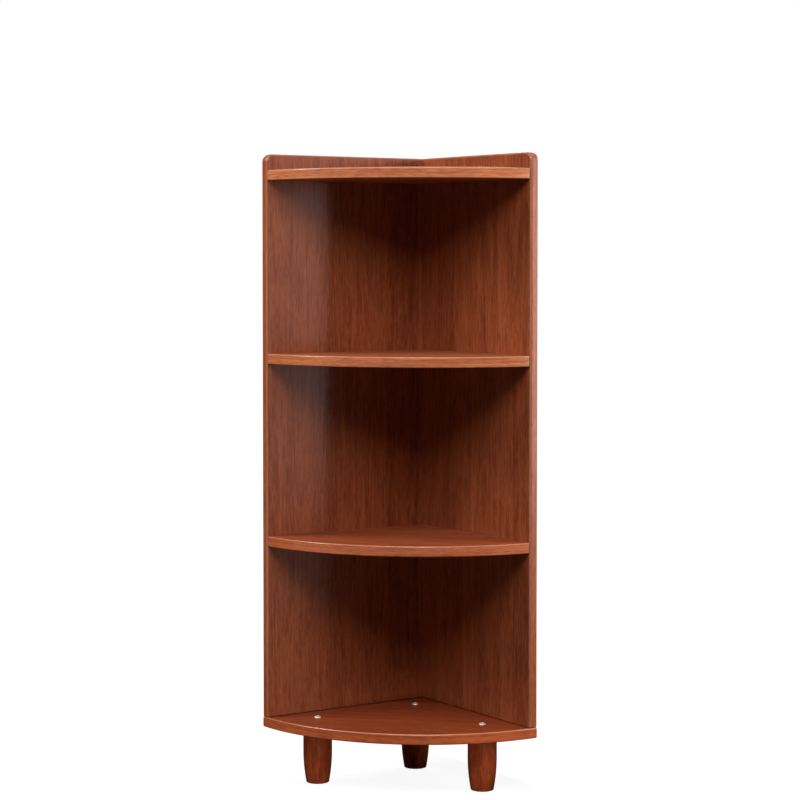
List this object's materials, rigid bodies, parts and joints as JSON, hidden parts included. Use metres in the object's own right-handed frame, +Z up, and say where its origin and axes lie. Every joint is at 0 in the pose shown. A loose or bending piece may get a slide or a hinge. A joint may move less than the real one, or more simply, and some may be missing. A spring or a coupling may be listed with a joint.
{
  "type": "corner shelf unit",
  "caption": "Quarter-round corner shelf unit in stained wood: side panels meeting in a right angle, open shelves between them, a bottom board and short turned legs.",
  "frame": {"origin": "on the floor, under the middle of the square footprint", "axes": "+Z up; the back corner is at -X and +Y, the left-hand panel stands along the -X side and the right-hand panel along the +Y side, and the open round front faces +X and -Y"},
  "size_m": [0.3, 0.3, 0.957],
  "materials": {
    "stained_wood": "reddish-brown stain under semi-gloss lacquer",
    "turned_wood": "the same stain and lacquer on turned legs",
    "beech": "bare fluted dowel wood",
    "bright_steel": "bright plated",
    "zinc_plated": "yellow zinc plated"
  },
  "bodies": {
    "root": {"left_panel": "stained_wood", "right_panel": "stained_wood", "lower_shelf": "stained_wood", "upper_shelf": "stained_wood", "top_shelf": "stained_wood", "bottom_board": "stained_wood", "left_leg": "turned_wood", "right_leg": "turned_wood", "back_leg": "turned_wood", "left_leg_insert": "zinc_plated", "right_leg_insert": "zinc_plated", "back_leg_insert": "zinc_plated", "left_leg_bolt": "bright_steel", "right_leg_bolt": "bright_steel", "back_leg_bolt": "bright_steel", "lower_shelf_left_screw_back": "bright_steel", "lower_shelf_left_screw_front": "bright_steel", "lower_shelf_right_screw_back": "bright_steel", "lower_shelf_right_screw_front": "bright_steel", "upper_shelf_left_screw_back": "bright_steel", "upper_shelf_left_screw_front": "bright_steel", "upper_shelf_right_screw_back": "bright_steel", "upper_shelf_right_screw_front": "bright_steel", "top_shelf_left_screw_back": "bright_steel", "top_shelf_left_screw_front": "bright_steel", "top_shelf_right_screw_back": "bright_steel", "top_shelf_right_screw_front": "bright_steel", "corner_screw_low": "bright_steel", "corner_screw_middle": "bright_steel", "corner_screw_high": "bright_steel", "base_left_screw_back": "bright_steel", "base_left_screw_front": "bright_steel", "base_right_screw_back": "bright_steel", "base_right_screw_front": "bright_steel", "lower_shelf_left_dowel_back": "beech", "lower_shelf_left_dowel_front": "beech", "lower_shelf_right_dowel_back": "beech", "lower_shelf_right_dowel_front": "beech", "upper_shelf_left_dowel_back": "beech", "upper_shelf_left_dowel_front": "beech", "upper_shelf_right_dowel_back": "beech", "upper_shelf_right_dowel_front": "beech", "top_shelf_left_dowel_back": "beech", "top_shelf_left_dowel_front": "beech", "top_shelf_right_dowel_back": "beech", "top_shelf_right_dowel_front": "beech", "corner_dowel_low": "beech", "corner_dowel_middle": "beech", "corner_dowel_high": "beech", "base_left_dowel_back": "beech", "base_left_dowel_front": "beech", "base_right_dowel_back": "beech", "base_right_dowel_front": "beech"}
  },
  "joints": []
}
